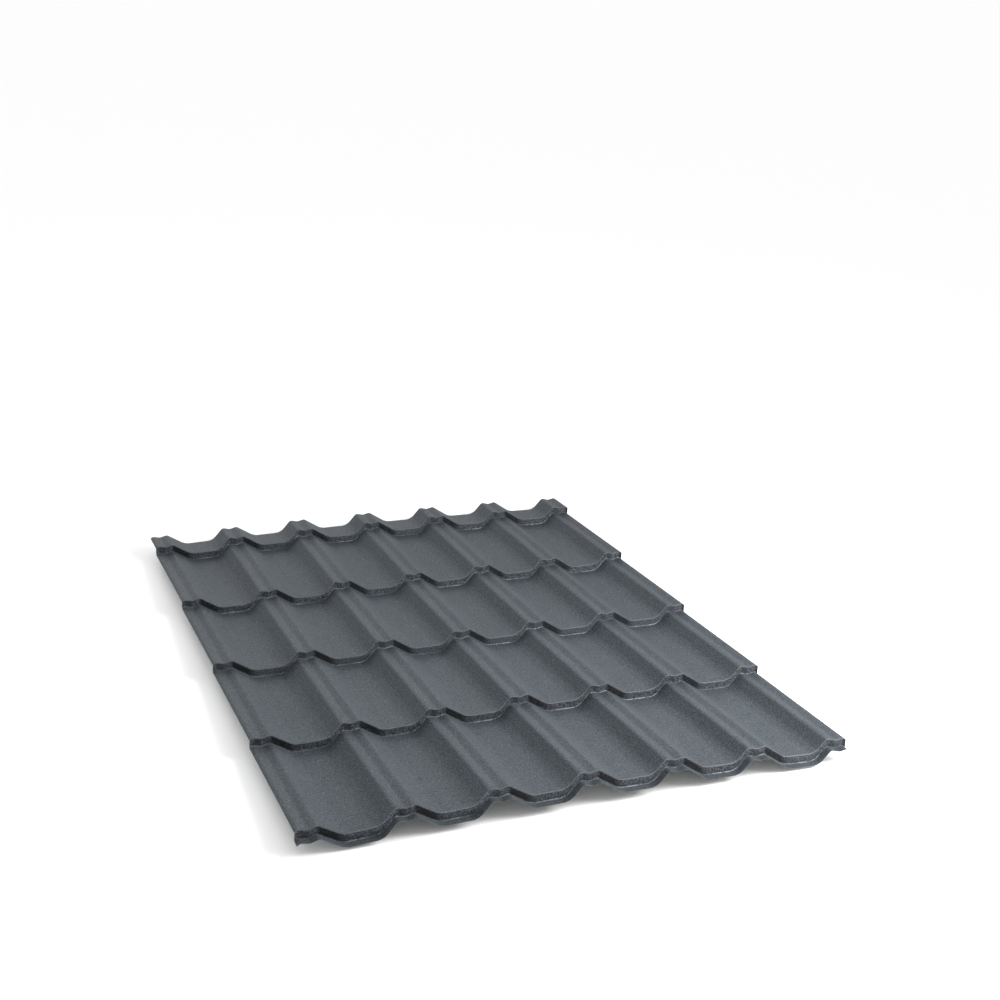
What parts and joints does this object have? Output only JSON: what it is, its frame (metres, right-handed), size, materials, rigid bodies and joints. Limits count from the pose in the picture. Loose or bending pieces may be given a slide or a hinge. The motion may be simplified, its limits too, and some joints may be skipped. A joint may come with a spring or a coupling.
{
  "type": "metal tile-effect roofing sheet",
  "caption": "Pressed steel roofing sheet with a tile-effect wave and stepped rows, laid with side and end laps to cover a pitched roof.",
  "frame": {"origin": "floor under the middle of the sheet as it lies", "axes": "+X across the waves, +Y along the rows up the roof slope, +Z away from the roof"},
  "size_m": [1.15, 1.5, 0.0684],
  "materials": {
    "coated_steel": "matt, fine-grained anthracite coating on both skins"
  },
  "bodies": {
    "root": {"roofing_sheet": "coated_steel"}
  },
  "joints": []
}
